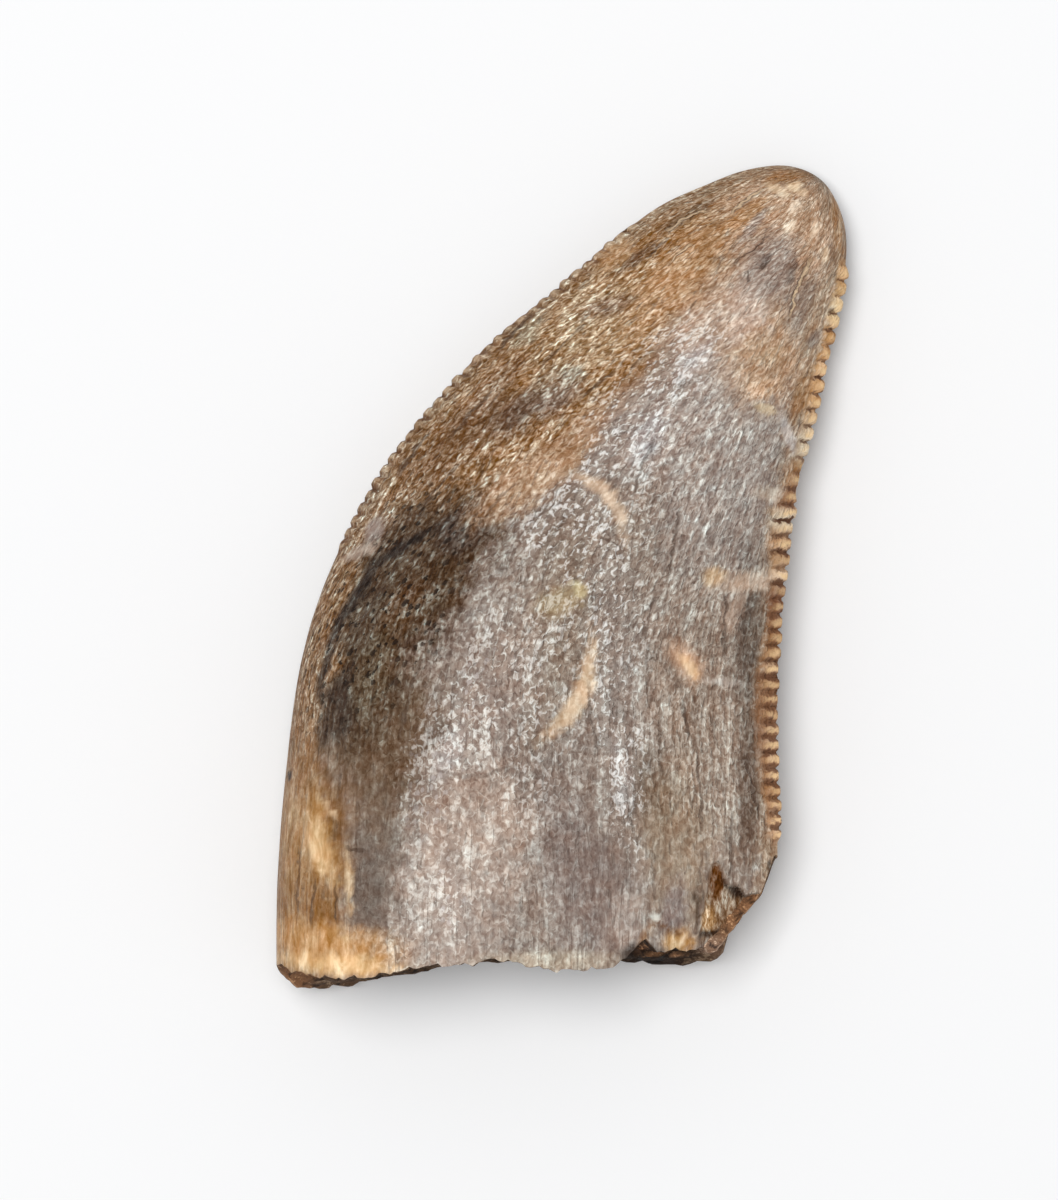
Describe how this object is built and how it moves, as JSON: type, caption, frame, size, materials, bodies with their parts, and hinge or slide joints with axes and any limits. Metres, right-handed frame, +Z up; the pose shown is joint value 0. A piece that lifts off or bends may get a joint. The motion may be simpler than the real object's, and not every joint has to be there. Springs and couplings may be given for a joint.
{
  "type": "tyrannosaur tooth",
  "caption": "Fossil crown of a small tyrannosaur tooth: curved flattened blade with finely serrated front and rear edges, worn tip and irregular broken base, lying on its side",
  "frame": {"origin": "bottom centre of the box, on the surface that the tooth lies on", "axes": "+Y runs from the broken base to the tip, +X towards the distal (rear) edge, and +Z up through the outer (labial) face"},
  "size_m": [0.015, 0.0218, 0.007],
  "materials": {
    "fossil_tooth": "mineralised enamel, satin, mottled grey-brown and orange-tan"
  },
  "bodies": {
    "root": {"tooth": "fossil_tooth"}
  },
  "joints": []
}
